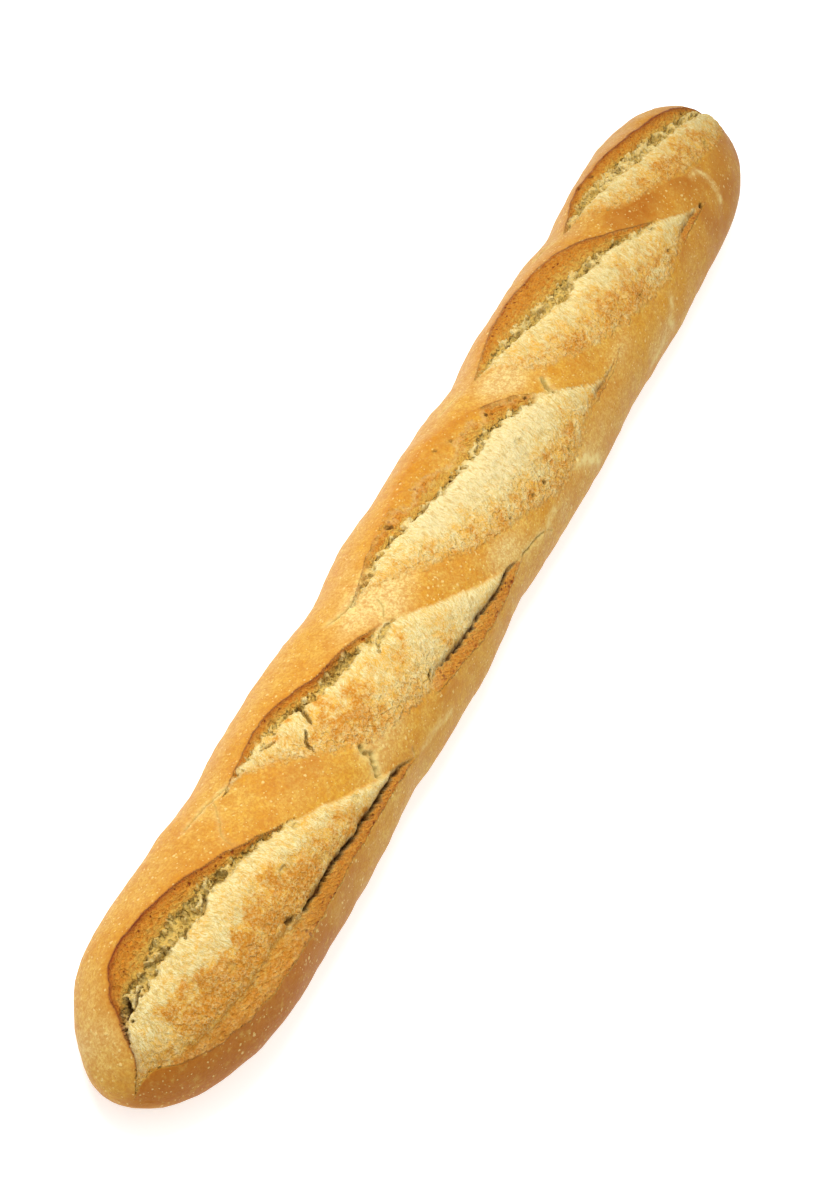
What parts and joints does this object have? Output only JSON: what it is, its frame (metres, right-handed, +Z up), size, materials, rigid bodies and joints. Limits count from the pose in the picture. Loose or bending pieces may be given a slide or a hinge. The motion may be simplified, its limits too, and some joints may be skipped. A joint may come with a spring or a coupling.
{
  "type": "baguette",
  "caption": "A long crusty white loaf with rounded ends, a flat underside and slanting slashes opened along its golden top.",
  "frame": {"origin": "Under the middle of the loaf's bounding box, on the flat underside.", "axes": "+X along the loaf, +Y across it, +Z up from the underside to the slashed top."},
  "size_m": [0.55, 0.0706, 0.05],
  "materials": {
    "crust": "baked crust, golden to orange-brown, matt with a faint sheen, pale crumb where the slashes open"
  },
  "bodies": {
    "root": {"baguette": "crust"}
  },
  "joints": []
}
